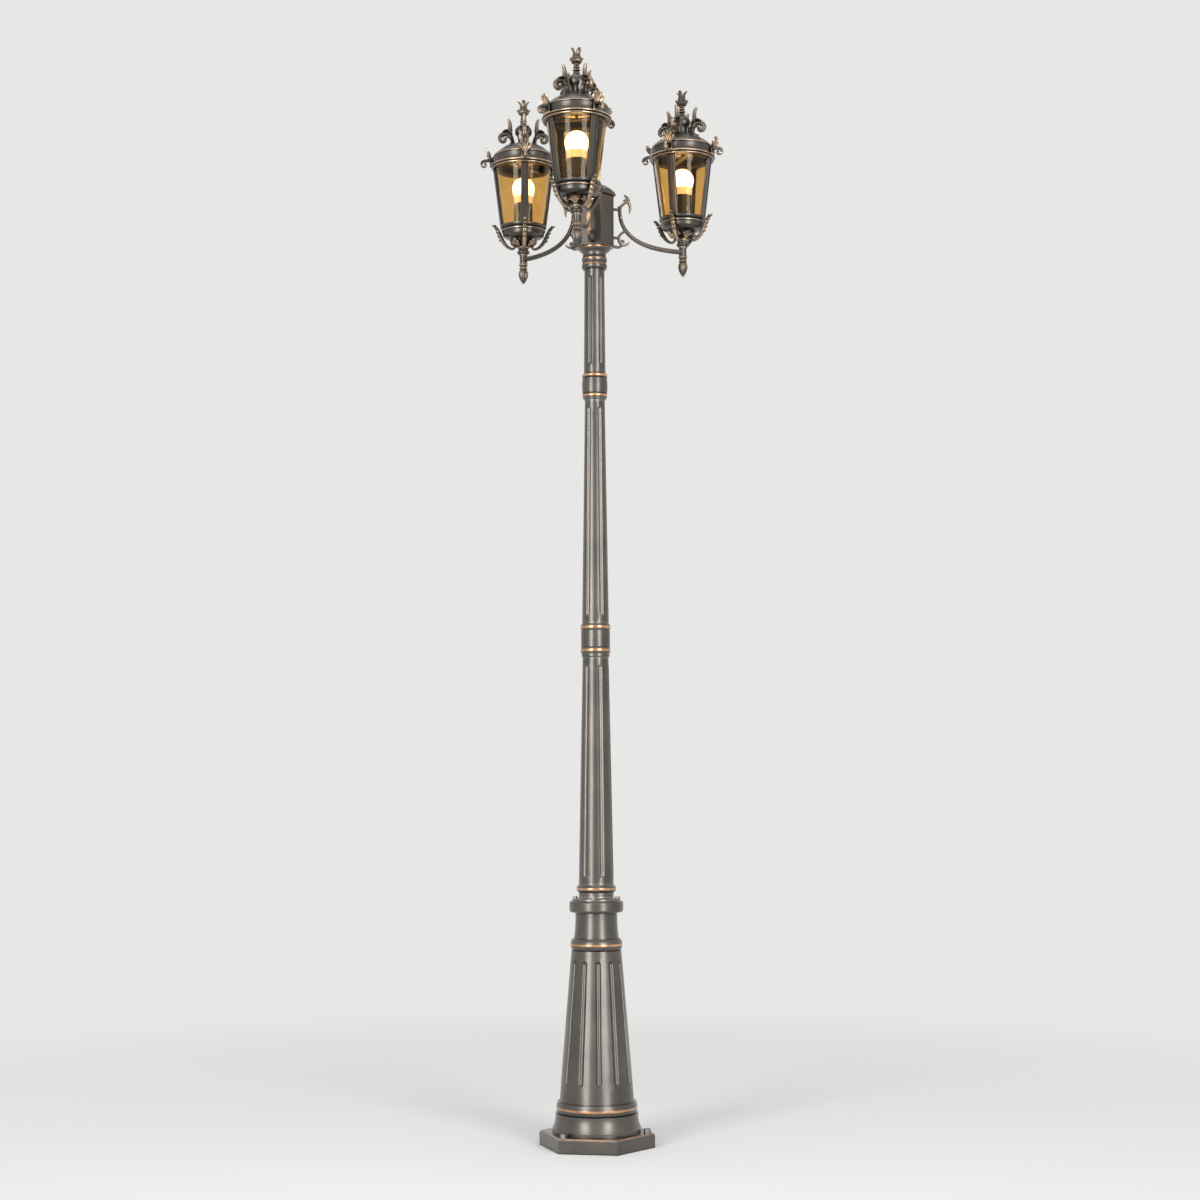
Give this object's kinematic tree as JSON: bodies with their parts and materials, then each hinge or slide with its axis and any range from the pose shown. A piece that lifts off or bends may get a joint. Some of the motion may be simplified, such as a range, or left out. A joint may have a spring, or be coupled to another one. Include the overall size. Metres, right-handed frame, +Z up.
{
  "type": "garden lamp post",
  "caption": "Tall fluted garden lamp post on a hexagonal bolt-down foot, with scroll arms carrying amber-glass lanterns that have lift-off roofs.",
  "frame": {"origin": "centre of the anchor bolt circle, on the underside of the hexagonal foot", "axes": "+Z up the post, -Y towards the front arm, arms at 270, 30 and 150 degrees about Z"},
  "size_m": [0.5396, 0.4713, 2.2512],
  "materials": {
    "bronze": "satin antique bronze paint",
    "steel": "zinc plated",
    "amber_glass": "clear tinted",
    "holder_black": "matt",
    "bulb_white": "satin",
    "bulb_glow": "frosted",
    "porcelain": "glazed"
  },
  "bodies": {
    "post": {"base_pedestal": "bronze", "lower_pole_section": "bronze", "middle_pole_section": "bronze", "upper_pole_section": "bronze", "head_collar": "bronze", "head_box": "bronze", "head_cap": "bronze", "anchor_washers": "steel", "anchor_nuts": "steel", "flange_bolts": "steel", "arm_bolts": "steel", "lower_joint_nipple": "steel", "upper_joint_nipple": "steel", "terminal_block": "porcelain", "front_arm": "bronze", "front_lamp_pipe": "steel", "front_drop_finial": "bronze", "front_gallery": "bronze", "front_gallery_scrolls": "bronze", "front_lampholder": "holder_black", "front_glass_panes": "amber_glass", "front_cage": "bronze", "front_roof_bridge": "steel", "right_arm": "bronze", "right_lamp_pipe": "steel", "right_drop_finial": "bronze", "right_gallery": "bronze", "right_gallery_scrolls": "bronze", "right_lampholder": "holder_black", "right_glass_panes": "amber_glass", "right_cage": "bronze", "right_roof_bridge": "steel", "left_arm": "bronze", "left_lamp_pipe": "steel", "left_drop_finial": "bronze", "left_gallery": "bronze", "left_gallery_scrolls": "bronze", "left_lampholder": "holder_black", "left_glass_panes": "amber_glass", "left_cage": "bronze", "left_roof_bridge": "steel"},
    "front_bulb_unit": {"front_bulb_base": "bulb_white", "front_bulb_globe": "bulb_glow"},
    "front_roof_unit": {"front_roof": "bronze", "front_rim_shells": "bronze", "front_crown_scrolls": "bronze"},
    "front_finial_unit": {"front_finial": "bronze"},
    "right_bulb_unit": {"right_bulb_base": "bulb_white", "right_bulb_globe": "bulb_glow"},
    "right_roof_unit": {"right_roof": "bronze", "right_rim_shells": "bronze", "right_crown_scrolls": "bronze"},
    "right_finial_unit": {"right_finial": "bronze"},
    "left_bulb_unit": {"left_bulb_base": "bulb_white", "left_bulb_globe": "bulb_glow"},
    "left_roof_unit": {"left_roof": "bronze", "left_rim_shells": "bronze", "left_crown_scrolls": "bronze"},
    "left_finial_unit": {"left_finial": "bronze"}
  },
  "joints": [
    {"name": "front_roof_lift", "type": "slide", "parent": "post", "child": "front_roof_unit", "axis": [0, 0, 1], "range_m": [0, 0.13]},
    {"name": "front_finial_turn", "type": "hinge", "parent": "front_roof_unit", "child": "front_finial_unit", "pos_m": [0, -0.2043, 2], "axis": [0, 0, 1], "continuous": true},
    {"name": "front_bulb_turn", "type": "hinge", "parent": "post", "child": "front_bulb_unit", "pos_m": [0, -0.2043, 2], "axis": [0, 0, 1], "continuous": true},
    {"name": "right_roof_lift", "type": "slide", "parent": "post", "child": "right_roof_unit", "axis": [0, 0, 1], "range_m": [0, 0.13]},
    {"name": "right_finial_turn", "type": "hinge", "parent": "right_roof_unit", "child": "right_finial_unit", "pos_m": [0.17693, 0.10215, 2], "axis": [0, 0, 1], "continuous": true},
    {"name": "right_bulb_turn", "type": "hinge", "parent": "post", "child": "right_bulb_unit", "pos_m": [0.17693, 0.10215, 2], "axis": [0, 0, 1], "continuous": true},
    {"name": "left_roof_lift", "type": "slide", "parent": "post", "child": "left_roof_unit", "axis": [0, 0, 1], "range_m": [0, 0.13]},
    {"name": "left_finial_turn", "type": "hinge", "parent": "left_roof_unit", "child": "left_finial_unit", "pos_m": [-0.17693, 0.10215, 2], "axis": [0, 0, 1], "continuous": true},
    {"name": "left_bulb_turn", "type": "hinge", "parent": "post", "child": "left_bulb_unit", "pos_m": [-0.17693, 0.10215, 2], "axis": [0, 0, 1], "continuous": true}
  ]
}
